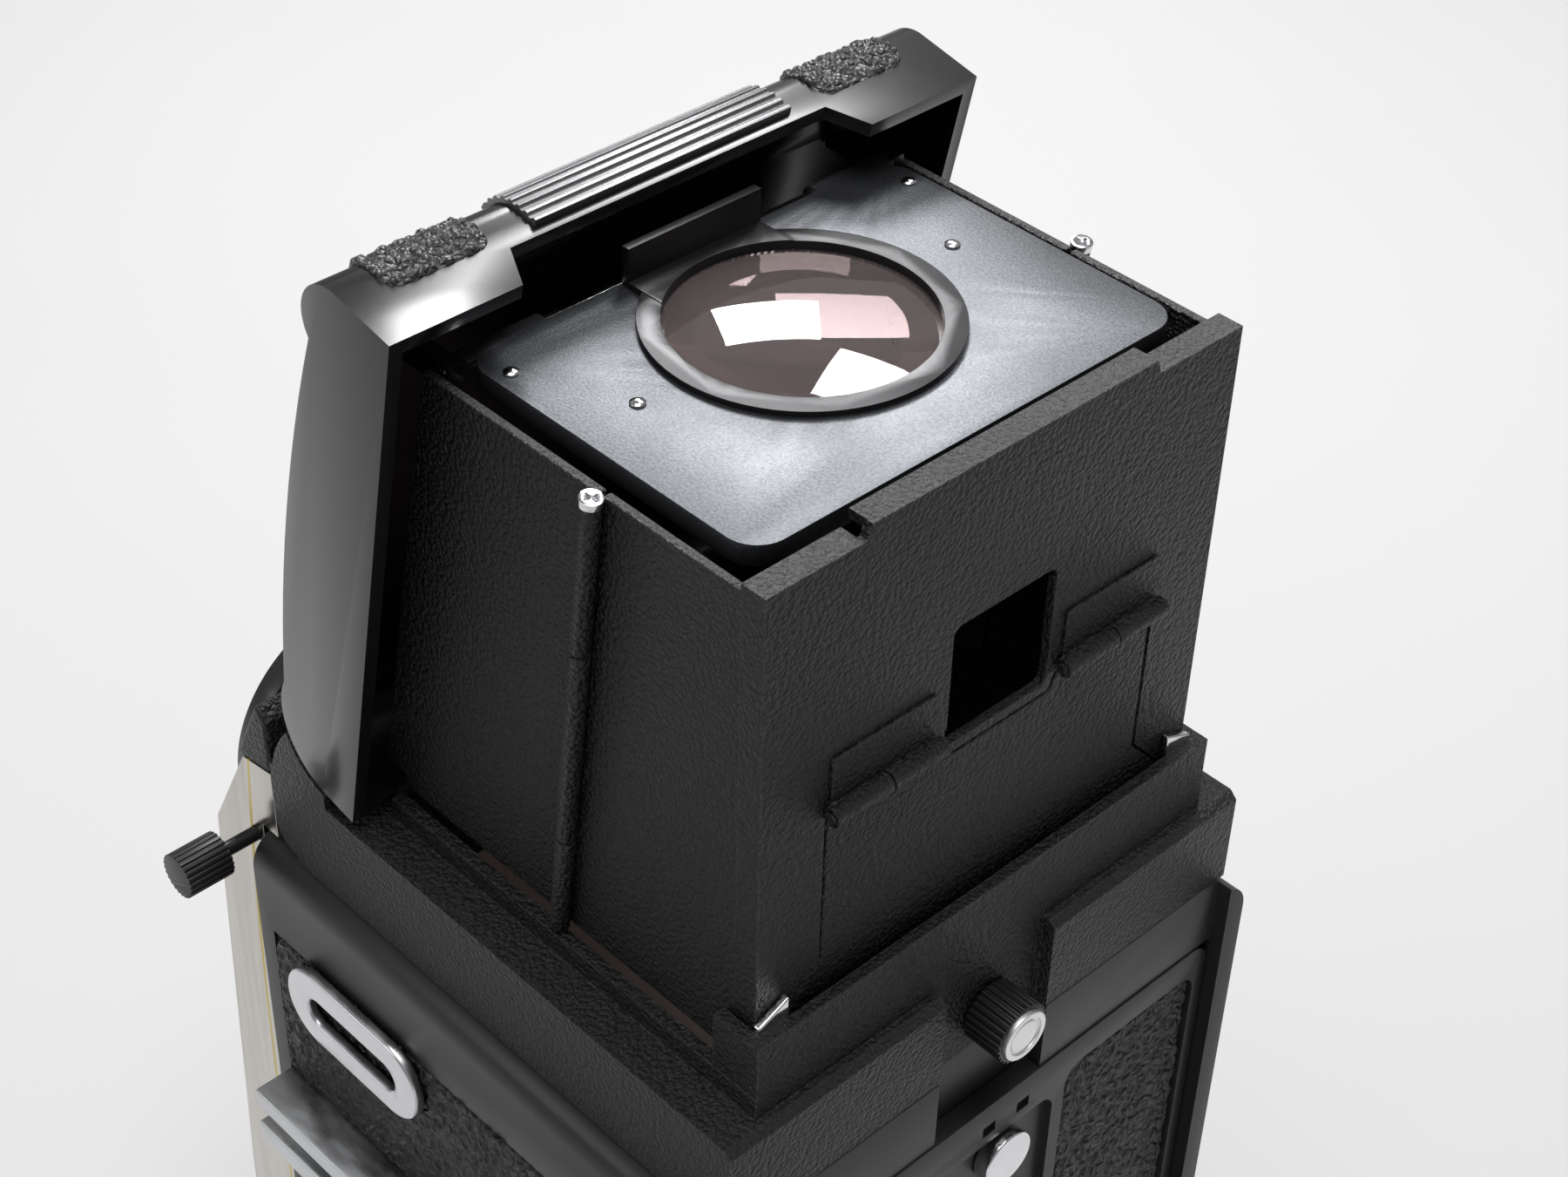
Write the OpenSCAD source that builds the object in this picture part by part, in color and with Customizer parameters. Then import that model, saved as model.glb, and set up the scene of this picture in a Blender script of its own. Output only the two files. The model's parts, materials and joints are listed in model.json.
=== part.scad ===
// Twin lens reflex camera with its waist level hood open.
// Frame: millimetres, +Z up, lenses look along -Y, the wearer's left hand side is +X.
// The origin is the centre of the tripod socket's mouth.

/* [Body] */
// Half the width of the main casting
body_half = 44.5; // [43:0.5:48]
// Height of the casting's top face, where the hood's base sits
body_top = 138.8; // [138:0.2:146]
// Front face of the casting
body_front = -45; // [-50:1:-42]
// Rear edge of the casting's side walls
body_rear = 44.6; // [44:0.1:48]
// Thickness of the casting's walls
wall = 3; // [2.5:0.1:4]

/* [Lenses] */
// Height of the taking lens axis
taking_z = 58; // [56:1:60]
// Distance between the taking and viewing lens axes
lens_spacing = 50; // [50:0.5:54]
// Radius of the glass in each lens
glass_r = 15; // [12:0.5:16]

/* [Hood] */
// Width of the hood's rear panel
panel_w = 70; // [66:1:72]
// Height of the rear panel's lower top edge
hood_top = 222.4; // [218:0.2:226]
// How far the lid leans back from upright, in degrees
lid_tilt = 11.4; // [8:0.2:14]
// How far the side panels' middle hinges lean back, in degrees
rod_tilt = 6.6; // [4:0.2:8]
// Radius of the magnifier's glass
magnifier_r = 15.1; // [13:0.1:16]

/* [Hidden] */
$fn = 64;
gap = 0.05;              // running clearance on each side of a shaft
sheet = 1.2;             // pressed sheet thickness
panel_y = 38;            // outer face of the rear panel
flange_top = 152.8;      // top face of the hood base
rim_top = 163.8;         // top of the hood base's rear wall
flange_half = 42.4;      // half width of the hood base and of the lid
viewing_z = taking_z + lens_spacing;
pinion_r = 6.4;          // pitch radius of the focusing pinions
pinion_y = -32;
pinion_z = 18;
rack_x = 37.5;
spool_y = 22;
lower_spool_z = 19.5;
upper_spool_z = 99;
button_y = -36;          // shutter release, on the right hand side
button_z = 46;
fold_y = -13;            // magnifier hinge line
fold_z = 221.2;
pin_r = 0.8;
door_pin_y = 41.2;
door_pin_z = 8;
leather_top = 124.5;     // upper edge of the side leathers
catch_x = -3.5;          // door catch, in the middle channel
catch_z = 116.5;
scale_y = -47.4;         // distance scale's knob on the standard
scale_z = 136.5;
knob_z = 144;            // hood lock knob's axis
chamber_top = body_top - 10.6; // ceiling of the film chamber and top of the door's opening
mirror_t = 1.5;          // thickness of the reflex mirror
mirror_d = mirror_t / sqrt(2);
lid_y = -24.2;           // lower corner of the lid's open side
lid_z = 154.8;
half_panel = panel_w / 2;

// ---------- shared shapes ----------

// A rectangle from two corners with round corners, made of exact arcs
module round_rect(x0, y0, x1, y1, r) {
    translate([x0 + r, y0]) square([x1 - x0 - 2 * r, y1 - y0]);
    translate([x0, y0 + r]) square([x1 - x0, y1 - y0 - 2 * r]);
    for (x = [x0 + r, x1 - r])
        for (y = [y0 + r, y1 - r])
            translate([x, y]) circle(r);
}

// A box from its low corner to its high corner
module span(low, high) {
    translate(low) cube(high - low);
}

// Extrudes a drawing in the X-Z plane along Y, from y0 to y1
module along_y(y0, y1) {
    translate([0, y1, 0]) rotate([90, 0, 0]) linear_extrude(y1 - y0) children();
}

// Extrudes a drawing in the Y-Z plane along X, from x0 to x1
module along_x(x0, x1) {
    translate([x0, 0, 0]) rotate([90, 0, 90]) linear_extrude(x1 - x0) children();
}

// A round bar between two places on an axis parallel to X, Y or Z
module bar_x(x0, x1, y, z, r) {
    translate([x0, y, z]) rotate([0, 90, 0]) cylinder(h = x1 - x0, r = r);
}

module bar_y(x, y0, y1, z, r) {
    translate([x, y0, z]) rotate([-90, 0, 0]) cylinder(h = y1 - y0, r = r);
}

// A round knob along X with ribs cut around its rim
module ribbed_x(x0, x1, y, z, r, ribs) {
    difference() {
        bar_x(x0, x1, y, z, r);
        for (i = [0 : ribs - 1])
            translate([x0 - 1, y, z]) rotate([i * 360 / ribs, 0, 0]) translate([0, r, 0])
                rotate([0, 90, 0]) cylinder(h = x1 - x0 + 2, r = r * 0.07, $fn = 16);
    }
}

// The same knob along Y
module ribbed_y(x, y0, y1, z, r, ribs) {
    translate([x, 0, z]) rotate([0, 0, 90]) ribbed_x(y0, y1, 0, 0, r, ribs);
}

// ---------- main casting ----------

module body_outline() {
    round_rect(-body_half, 4, body_half, body_top, 5);
}

module body_casting() {
    color("#1a1a1c") {
        difference() {
            along_y(body_front, body_rear) body_outline();
            // lower spool chamber, joined to the bay of the focusing drive
            span([-41.3, -42, 8], [41.3, 50, 31]);
            // upper spool chamber, under the sloping wall that carries the mirror
            along_x(-41.3, 41.3) polygon([[-12, 87.2], [50, 87.2],
                [50, chamber_top], [chamber_top - 105.3, chamber_top], [-12, 93.3]]);
            // taking lens light path
            span([-30, body_front - 1, 32], [30, 50, 86]);
            // mirror box, open to the viewing lens and to the focusing screen
            along_x(-29, 29) polygon([[body_front - 1, 88], [-31, 88], [-27, 84],
                [-27 + mirror_d, 84 - mirror_d], [chamber_top - 107 + 2 * mirror_d, chamber_top + 4],
                [30, body_top - 2], [-26, body_top - 2], [-26, chamber_top], [body_front - 1, chamber_top]]);
            span([-31, -28, body_top - 2.8], [31, 32, body_top + 1]);
            // mechanism spaces beside the light path
            for (x = [-41.3, 31.5])
                span([x, -20, 33], [x + 9.8, 50, 85.5]);
            // film path behind the gate, and the opening of the door between the side walls
            span([-41.3, 34.2, 31], [41.3, 50, 87.2]);
            span([-41.3, 39.9, 4.7], [41.3, 50, chamber_top]);
            bar_x(-41.3, 41.3, door_pin_y, door_pin_z, 3.5);
            bar_x(-43.9, 43.9, door_pin_y, door_pin_z, 1);
            // the rear strip under the hood base, with a gap for the lock knob
            span([-9.2, 39.9, chamber_top - 1], [9.2, 50, body_top + 1]);
            span([-41.3, 42.4, chamber_top], [41.3, 50, body_top + 1]);
            // slots for the focusing racks
            for (x = [-rack_x, rack_x])
                span([x - 2.2, body_front - 1, 24.3], [x + 2.2, -41, 29.7]);
            // focusing shaft, crank shaft and spool knob holes
            bar_x(-50, 50, pinion_y, pinion_z, 3 + gap);
            bar_x(-50, -40, spool_y, upper_spool_z, 4 + gap);
            for (z = [lower_spool_z, upper_spool_z])
                bar_x(40, 50, spool_y, z, 3 + gap);
            // shutter button hole
            bar_x(-50, -38, button_y, button_z, 3.5 + gap);
            // seat of the tripod bush
            translate([0, 0, 3]) cylinder(h = 6, r = 8);
            // shallow beds for the side leathers
            for (s = [-1, 1])
                span([s * 44.5 - 0.5, -42, 12], [s * 44.5 + 0.5, 41, leather_top]);
        }
        // fixed pin that carries the supply spool's other end
        bar_x(-41.3, -29, spool_y, lower_spool_z, 3);
    }
}

module base_plate() {
    color("#9a9a9c") difference() {
        linear_extrude(4) round_rect(-41, -44, 41, 38, 5);
        translate([0, 0, -1]) cylinder(h = 6, r = 8);
    }
}

module tripod_bush() {
    color("#b8b8ba") difference() {
        cylinder(h = 8, r = 8);
        translate([0, 0, -1]) cylinder(h = 10, r = 3.175);
    }
}

module side_leathers() {
    color("#2a2a2c") for (s = [-1, 1])
        difference() {
            along_x(s > 0 ? 44 : -45, s > 0 ? 45 : -44) round_rect(-42, 12, 41, leather_top, 3);
            bar_x(-50, 50, pinion_y, pinion_z, 7);
            bar_x(-50, 50, spool_y, upper_spool_z, 9);
            bar_x(43, 50, spool_y, lower_spool_z, 9);
            bar_x(-50, -43, button_y, button_z, 5.5);
            span([43, -43, 88], [50, -14, 99]);
        }
}

// Strap lugs: chrome loops standing on the casting's sides
module strap_lugs() {
    color("silver") for (s = [-1, 1])
        translate([s * 45.75, 0, 0]) difference() {
            along_x(-0.75, 0.75) round_rect(-37, 113.5, -10, 125.5, 5.9);
            along_x(-2, 2) round_rect(-32.5, 117, -14.5, 121.5, 2.2);
        }
}

module accessory_shoe() {
    color("#b4b6b8") difference() {
        span([44, -42, 88.5], [50.5, -15, 98.5]);
        span([47, -43, 91], [48.6, -14, 96.5]);
        span([48, -43, 92.2], [52, -14, 95.3]);
    }
}

// ---------- inside the casting ----------

module film_gate() {
    color("#202020") difference() {
        span([-41, 34.2, 31], [41, 36.2, 86]);
        span([-28, 30, 31.5], [28, 40, 85.5]);
    }
}

module film_rollers() {
    color("silver") for (z = [28, 89.5])
        bar_x(-41.3, 41.3, 33, z, 2);
}

module viewing_mirror() {
    color("#c8d4dc") translate([0, -27, 84]) rotate([45, 0, 0]) translate([-29, 0, -mirror_t])
        cube([58, 68, mirror_t]);
}

module focusing_screen() {
    color("#dfe6e2") span([-29, -26, body_top - 2], [29, 30, body_top - 0.4]);
}

module screen_frame() {
    color("#303032") difference() {
        span([-31, -28, body_top - 2.8], [31, 32, body_top]);
        span([-29, -26, body_top - 2], [29, 30, body_top + 1]);
        span([-27.5, -24.5, body_top - 4], [27.5, 28.5, body_top]);
    }
}

// ---------- hood base ----------

module base_outline() {
    translate([-flange_half, -41.5]) square([2 * flange_half, 42.35 + 41.5]);
}

module hood_base() {
    color("#1c1c1e") difference() {
        union() {
            translate([0, 0, body_top]) linear_extrude(flange_top - body_top) base_outline();
            // curved front wall under the lid
            along_x(-flange_half, flange_half) difference() {
                intersection() {
                    translate([-41.5, flange_top - 1]) square([11.5, 12]);
                    translate([-21.5, 148]) circle(20, $fn = 128);
                }
                translate([-27.6, 165.1]) circle(10.3, $fn = 96);
            }
            // low side rims
            span([-37, -23.6, flange_top], [37, 40.5, flange_top + 3]);
            // tall rear wall, wrapping round both corners
            span([-36.9, 33.5, flange_top], [36.9, 40.5, rim_top]);
            // hinge blocks under the lid
            for (s = [-1, 1])
                translate([s * 27, 0, 0]) along_x(-8, 8) polygon([[-29.5, flange_top - 1],
                    [lid_y, flange_top - 1], [lid_y, lid_z - gap],
                    [-29.5, lid_z - gap + (lid_y + 29.5) * tan(lid_tilt)]]);
        }
        // gap between the two rear blocks for the lock knob
        span([-9.1, 40.5, body_top - 1], [9.1, 50, flange_top + 1]);
        // sloping tops of the two blocks
        translate([-50, 40.9, flange_top + 0.4]) rotate([-45, 0, 0]) cube([100, 5, 5]);
        // well under the hood
        span([-35.3, -23.6, body_top - 1], [35.3, 39, rim_top + 1]);
        // the front edge curls under
        translate([-50, -41.5, body_top - 1]) rotate([90, 0, 90])
            linear_extrude(100) difference() {
                translate([-1, -1]) square([5, 7]);
                translate([4, 6]) circle(4);
            }
        // lock knob's screw
        bar_y(0, 30, 45, knob_z, 1.6 + gap);
    }
}

module base_corner_clips() {
    color("silver") for (s = [-1, 1])
        along_y(panel_y, panel_y + 1) polygon([[s * 30.9, rim_top - 6], [s * 35.3, rim_top - 6],
            [s * 35.3, rim_top + 0.8], [s * 30.9, rim_top + 2.8]]);
}

// ---------- lid ----------

lid_h = 77.2;
lid_wall = 1.8;

// Places a drawing made in the lid's own plane: x is depth towards the front, y is height
module lid_frame() {
    translate([0, lid_y, lid_z]) rotate([-lid_tilt, 0, 0]) children();
}

// Outline of the lid's side: a bowed front with round corners
module lid_side(inset) {
    intersection() {
        translate([-16, inset - 0.01]) square([16 - (inset > 0 ? -1 : 0), lid_h - 2 * inset]);
        union() {
            intersection() {
                translate([236 - 15.4, 34]) circle(236 - inset, $fn = 360);
                translate([-20, 9]) square([30, lid_h - 9 - 5]);
            }
            translate([-9.2, lid_h - 5.2]) circle(5.2 - inset);
            translate([-9.2, lid_h - 10]) square([12, 10 - inset]);
            translate([-5.4, 9.4]) circle(9.4 - inset);
            translate([-6, 0]) square([8, 12]);
        }
    }
}

module hood_lid() {
    color("#0e0e10") lid_frame() difference() {
        along_x(-flange_half, flange_half) lid_side(0);
        along_x(-flange_half + lid_wall, flange_half - lid_wall) lid_side(lid_wall);
        // the middle of the top wall stops short of the wings at its ends
        translate([0, -5.2, lid_h - 4]) linear_extrude(10)
            polygon([[-22.8, 0], [22.8, 0], [25.4, 5.4], [-25.4, 5.4]]);
    }
    // ears that carry the magnifier's hinge pin
    color("#0e0e10") for (x = [-33.4, 31.6])
        difference() {
            span([x, -22.6, fold_z - 1.8], [x + 1.8, fold_y + 1.6, fold_z + 1.4]);
            bar_x(-40, 40, fold_y, fold_z, pin_r + gap);
        }
}

// A skin of thickness t over the lid's top edge, from the given depth forwards
module lid_skin(t, depth) {
    intersection() {
        difference() {
            union() {
                translate([-9.2, lid_h - 5.2]) circle(5.2 + t);
                translate([-9.2, lid_h - 5.2]) square([9, 5.2 + t]);
            }
            lid_side(0);
        }
        translate([-18, lid_h - 3.6]) square([18 + depth, 10]);
    }
}

// Leather pads on the lid's top edge
module lid_grip_pads() {
    color("#303032") lid_frame() for (x = [-37.4, 23.7])
        along_x(x, x + 13.7) lid_skin(0.8, -6.4);
}

module lid_ribbed_grip() {
    color("#202022") lid_frame() difference() {
        along_x(-18.5, 18.5) lid_skin(0.9, -6.4);
        for (i = [0 : 1])
            bar_x(-20, 20, -7.4 - i * 1.4, lid_h + 1, 0.45);
        for (a = [8 : 13 : 60])
            translate([0, -9.2, lid_h - 5.2]) rotate([a, 0, 0]) bar_x(-20, 20, 0, 6.2, 0.45);
    }
}

module lid_front_leather() {
    color("#2a2a2c") lid_frame() intersection() {
        along_x(-36, 36) difference() {
            translate([236 - 15.4, 34]) circle(236 + 0.7, $fn = 360);
            translate([236 - 15.4, 34]) circle(236, $fn = 360);
        }
        span([-40, -20, 14], [40, 0, 64]);
    }
}

// ---------- folding panels, standing open ----------

window_low = 187.7;
window_high = 203.9;
hinge_z = 189.5;

// The seam between the rear panel and the flap below it
module flap_outline(grow) {
    polygon([
        [-25.4 - grow, hinge_z - 1.3 + grow], [-9.6 + grow, hinge_z - 1.3 + grow],
        [-8.6 + grow, 186.1 + grow], [8.6 - grow, 186.1 + grow],
        [9.6 - grow, hinge_z - 1.3 + grow], [25.4 + grow, hinge_z - 1.3 + grow],
        [25.4 + grow, 168], [30.4 + grow, 162.5], [30.4 + grow, 156.8 - grow],
        [-30.4 - grow, 156.8 - grow], [-30.4 - grow, 162.5], [-25.4 - grow, 168]]);
}

module rear_panel() {
    color("#1d1d1f") difference() {
        union() {
            along_y(panel_y - sheet, panel_y) difference() {
                union() {
                    translate([-half_panel, 156.5]) square([panel_w, hood_top - 156.5]);
                    polygon([[-21.9, hood_top - 1], [21.9, hood_top - 1],
                        [20.9, hood_top + 1.8], [-20.9, hood_top + 1.8]]);
                }
                round_rect(-7.9, window_low, 7.9, window_high, 1.2);
                flap_outline(0.35);
            }
            // rolled top edge and side returns
            span([-half_panel, panel_y - 3.4, hood_top - 1.2], [-21.9, panel_y - sheet, hood_top]);
            span([21.9, panel_y - 3.4, hood_top - 1.2], [half_panel, panel_y - sheet, hood_top]);
            span([-20.9, panel_y - 3.4, hood_top + 0.6], [20.9, panel_y - sheet, hood_top + 1.8]);
            for (s = [-1, 1])
                translate([s * (half_panel - 0.6), 0, 0])
                    span([-0.6, panel_y - 3.4, 156.5], [0.6, panel_y - sheet, hood_top]);
        }
        bar_x(-26.2, 26.2, panel_y + 1, hinge_z, 1.2 + gap);
    }
}

module rear_flap() {
    color("#1d1d1f") difference() {
        along_y(panel_y - sheet, panel_y) flap_outline(0);
        bar_x(-26.2, 26.2, panel_y + 1, hinge_z, 1.2 + gap);
    }
}

// Two long barrels with the raised leaves above them
module rear_hinges() {
    color("#262628") for (s = [-1, 1]) {
        translate([s * 17.65, 0, 0]) {
            bar_x(-8.25, -0.15, panel_y + 1, hinge_z, 1.2);
            bar_x(0.15, 8.25, panel_y + 1, hinge_z, 1.2);
            bar_x(-8.5, 8.5, panel_y + 1, hinge_z, 0.6);
            span([-7.6, panel_y, hinge_z], [7.6, panel_y + 0.35, hinge_z + 7]);
            // the leaf behind the panel and the flap
            span([-7.6, panel_y - sheet - 0.6, hinge_z - 7], [7.6, panel_y - sheet, hinge_z + 6]);
        }
    }
}

// Lines along the side panels' edges, as (y, z) places on the side wall
side_top = 221.2;
side_low = 156.6;
rod_length = (side_top - side_low) / cos(rod_tilt) - 0.6;
function rod_y(z) = 14.2 - (222 - z) * tan(rod_tilt);
function front_edge_y(z) = -14.4 - (222 - z) * tan(lid_tilt);

module side_sheet(s, outline) {
    along_x(s > 0 ? 33.6 : -34.8, s > 0 ? 34.8 : -33.6) polygon(outline);
}

module side_panels_rear() {
    color("#1e1e20") for (s = [-1, 1])
        side_sheet(s, [[34.6, side_low], [34.6, side_top],
            [rod_y(side_top) + 0.25, side_top], [rod_y(side_low) + 0.25, side_low]]);
}

module side_panels_front() {
    color("#1e1e20") for (s = [-1, 1])
        side_sheet(s, [[rod_y(side_top) - 0.25, side_top], [front_edge_y(side_top), side_top],
            [front_edge_y(158.4), 158.4], [lid_y + 0.7, 158.4], [lid_y + 0.7, side_low],
            [rod_y(side_low) - 0.25, side_low]]);
}

module side_hinge_rods() {
    color("#262628") for (s = [-1, 1])
        translate([s * 36, rod_y(side_low), side_low]) rotate([-rod_tilt, 0, 0])
            difference() {
                cylinder(h = rod_length, r = 1.2);
                // joints between the knuckles
                for (f = [0.23, 0.68])
                    translate([0, 0, rod_length * f]) difference() {
                        cylinder(h = 0.35, r = 2);
                        cylinder(h = 0.35, r = 0.9);
                    }
            }
}

module side_hinge_screws() {
    color("silver") for (s = [-1, 1])
        translate([s * 36, rod_y(side_top), side_top]) rotate([-rod_tilt, 0, 0])
            translate([0, 0, -0.6]) difference() {
                cylinder(h = 0.9, r = 1.3);
                translate([-0.9, -0.15, 0.5]) cube([1.8, 0.3, 1]);
                translate([-0.15, -0.9, 0.5]) cube([0.3, 1.8, 1]);
            }
}

// ---------- magnifier ----------

ring_y = 6.4;

module magnifier_plate() {
    color("#3a3a3e") {
        difference() {
            translate([0, 0, hood_top - 2.4]) linear_extrude(2.6) round_rect(-31.4, -12, 31.4, 32.6, 4);
            translate([0, 0, hood_top - 3]) linear_extrude(2.4) round_rect(-30.4, -13, 30.4, 31.6, 3);
            translate([0, ring_y, hood_top - 3]) cylinder(h = 5, r = 16.6);
        }
        // rolled eyes of the hinge
        for (x = [-31.4, 20])
            difference() {
                union() {
                    bar_x(x, x + 11.4, fold_y, fold_z, 1.4);
                    span([x, fold_y, fold_z + 0.8], [x + 11.4, -11, hood_top + 0.2]);
                }
                bar_x(-40, 40, fold_y, fold_z, pin_r);
            }
    }
}

module magnifier_frame() {
    color("#242428") difference() {
        union() {
            translate([0, ring_y, hood_top + 0.2]) cylinder(h = 0.7, r = 17.7);
            translate([0, ring_y, hood_top - 2.2]) cylinder(h = 2.6, r = 16.6);
            span([-9.7, -11.6, hood_top + 0.2], [9.7, -5, hood_top + 1]);
            span([-9.7, -11.6, hood_top + 0.2], [9.7, -10.5, hood_top + 5.2]);
        }
        translate([0, ring_y, hood_top - 3]) cylinder(h = 5, r = magnifier_r);
    }
}

module magnifier_lens() {
    color("#b8c4cc") translate([0, ring_y, 0]) rotate_extrude($fn = 96) intersection() {
        translate([0, hood_top - 2.6]) square([magnifier_r, 5]);
        translate([0, hood_top + 1.6 - 62]) circle(62, $fn = 360);
        translate([0, hood_top - 3.6 + 62]) circle(62, $fn = 360);
    }
}

module magnifier_rivets() {
    color("silver") for (p = [[23.1, 6.3], [-23.1, 6.3], [29.2, -6.5], [-29.2, -6.5]])
        translate([p[0], p[1], hood_top + 0.2]) intersection() {
            cylinder(h = 0.6, r = 0.9);
            translate([0, 0, -1.2]) sphere(r = 1.7, $fn = 32);
        }
}

module magnifier_hinge_pin() {
    color("silver") bar_x(-33.4, 33.4, fold_y, fold_z, pin_r);
}

// ---------- lock knob, door ----------

module hood_lock_knob() {
    color("#141416") difference() {
        union() {
            bar_y(0, 39.4, 43, knob_z, 1.6);
            ribbed_y(0, 40.9, 46.4, knob_z, 4.1, 28);
        }
        bar_y(0, 46, 48, knob_z, 3.4);
    }
}

module lock_knob_cap() {
    color("#e8e8ea") difference() {
        bar_y(0, 46, 47, knob_z, 3.4);
        difference() {
            bar_y(0, 46.7, 48, knob_z, 2.6);
            bar_y(0.3, 46.6, 48.1, knob_z + 0.25, 2.2);
        }
    }
}

module back_door() {
    color("#161618") difference() {
        union() {
            span([-41, 39.9, 4.9], [41, 41.4, chamber_top - 0.2]);
            along_y(41.4, 42.6) difference() {
                round_rect(-41, 4.9, 41, chamber_top - 0.2, 3);
                // beds of the two leathers and the channel of the catch
                for (s = [-1, 1])
                    translate([s * 26.8, 0]) round_rect(-12.3, 14, 12.3, 123.6, 3);
                round_rect(-12.4, 60, 12.4, 121, 2.5);
            }
        }
        bar_x(-50, 50, door_pin_y, door_pin_z, 1 + gap);
        // guide slot of the catch
        span([catch_x - 2.15, 39, catch_z - 5.3], [catch_x + 2.15, 43, catch_z + 2.2]);
        // two slots pressed in above the channel
        for (x = [catch_x - 3, catch_x + 3])
            span([x - 1.1, 42, 122.6], [x + 1.1, 43, 124.4]);
    }
}

module door_leather() {
    color("#2a2a2c") for (s = [-1, 1])
        along_y(41.4, 42.4) translate([s * 26.8, 0]) round_rect(-12.2, 14.1, 12.2, 123.5, 2.9);
}

module door_catch() {
    color("silver") {
        bar_y(catch_x, 39.2, 43.8, catch_z, 2.1);
        bar_y(catch_x, 41.45, 43.8, catch_z, 4);
        bar_y(catch_x, 39.2, 39.85, catch_z, 3.4);
    }
}

module door_hinge_pin() {
    color("silver") bar_x(-43.9, 43.9, door_pin_y, door_pin_z, 1);
}

module pressure_plate() {
    color("#202022") union() {
        span([-32, 36.6, 30], [32, 37.8, 88]);
        for (z = [44, 74])
            bar_y(0, 37.8, 39.9, z, 3);
    }
}

// ---------- front standard ----------

module front_standard() {
    color("#1a1a1c") difference() {
        span([-40, -58, 21], [40, -54, 134]);
        bar_y(0, -60, -50, taking_z, 21);
        bar_y(0, -60, -50, viewing_z, 21);
    }
}

module standard_side_plates() {
    color("#c9c6c0") difference() {
        for (x = [-42, 40])
            along_x(x, x + 2)
                polygon([[-45.6, 21], [-45.6, body_top + 0.4], [-42.3, body_top + 0.4], [-42.3, 150],
                    [-48.4, 149], [-56.8, 133], [-60.6, 60], [-60.6, 40], [-58, 28], [-58, 21]]);
        bar_x(39, 43, scale_y, scale_z, 1 + gap);
    }
}

module standard_cap() {
    color("#3a3a3c") {
        // raised visor over the plates
        along_x(-42, 42) polygon([[-42.3, 150], [-42.3, 158.4], [-44.2, 160.2], [-49.6, 149.4], [-48.4, 149]]);
        // sloping roof between the plates
        along_x(-40, 40) polygon([[-42.3, 148.4], [-42.3, 150], [-48.4, 149.2], [-49.6, 149.4],
            [-58, 134], [-54, 134], [-46.6, 147.8]]);
    }
}

module focus_racks() {
    color("silver") for (x = [-rack_x, rack_x])
        difference() {
            span([x - 2, -54, pinion_z + pinion_r + 0.1], [x + 2, 24, 29.5]);
            for (i = [0 : 33])
                span([x - 3, -40 + i * 1.9, 24], [x + 3, -40 + i * 1.9 + 0.8, 25.6]);
        }
}

module bellows() {
    color("#18181a") difference() {
        span([-38, -54, 31], [38, body_front, 133]);
        span([-29.5, -60, 33], [29.5, -40, 131]);
    }
}

module lens_board() {
    color("#141416") difference() {
        along_y(-61, -58) round_rect(-37, 26, 37, 131.5, 3);
        bar_y(0, -65, -50, taking_z, 18);
        bar_y(0, -65, -50, viewing_z, 18);
    }
}

// A hollow round stage of a lens, between two places along its axis
module stage(y0, y1, z, r, bore) {
    difference() {
        bar_y(0, y0, y1, z, r);
        bar_y(0, y0 - 1, y1 + 1, z, bore);
    }
}

module viewing_lens_barrel() {
    color("#121214") {
        stage(-72, -61, viewing_z, 22.5, glass_r + 2);
        stage(-82, -72, viewing_z, 20.5, glass_r);
        stage(-86, -82, viewing_z, 21.5, glass_r + 2);
    }
}

module lens_element(z, y0) {
    translate([0, y0, z]) rotate([90, 0, 0]) rotate_extrude($fn = 96) intersection() {
        square([glass_r, 6]);
        translate([0, 5.5 - 30]) circle(30, $fn = 180);
    }
}

module viewing_lens_glass() {
    color("#8890b0") lens_element(viewing_z, -74);
}

module shutter_housing() {
    color("#161618") difference() {
        stage(-73, -61, taking_z, 25.5, glass_r + 2);
        // grooves of the aperture and cocking levers
        stage(-72, -70, taking_z, 30, 21.5);
        stage(-67.5, -65.5, taking_z, 30, 21.5);
    }
}

// A ring that turns in one of the housing's grooves, with an arm pointing out at an angle from upright
module lever_ring(y, angle, reach, half) {
    stage(y, y + 1.8, taking_z, 24.5, 21.5 + gap);
    translate([0, 0, taking_z]) rotate([0, angle, 0]) {
        span([-half, y, 23.5], [half, y + 1.8, reach]);
        span([-half, y - 1, reach - 2.5], [half, y + 1.8, reach]);
    }
}

module speed_ring() {
    color("#b8babc") difference() {
        ring_teeth();
        bar_y(0, -80, -70, taking_z, 21 + gap);
    }
}

module ring_teeth() {
    difference() {
        bar_y(0, -77, -73.1, taking_z, 25.3);
        for (i = [0 : 47])
            translate([0, -74.6, taking_z]) rotate([0, i * 7.5, 0]) translate([25.5, 0, 0])
                rotate([90, 0, 0]) cylinder(h = 3, r = 0.6, $fn = 16);
    }
}

module taking_lens_barrel() {
    color("#121214") {
        stage(-84, -73, taking_z, 21, glass_r);
        stage(-88, -84, taking_z, 21.8, glass_r + 2);
    }
}

module taking_lens_glass() {
    color("#8890b0") lens_element(taking_z, -76);
}

module cocking_lever() {
    color("silver") lever_ring(-71.9, 40, 31.5, 1.8);
}

module aperture_lever() {
    color("silver") lever_ring(-67.4, -90, 31, 1.4);
}

module scale_knob() {
    color("#161618") {
        bar_x(40.1, 48, scale_y, scale_z, 1);
        ribbed_x(47.5, 54, scale_y, scale_z, 3.1, 24);
    }
}

// ---------- focusing, winding, film ----------

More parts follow.
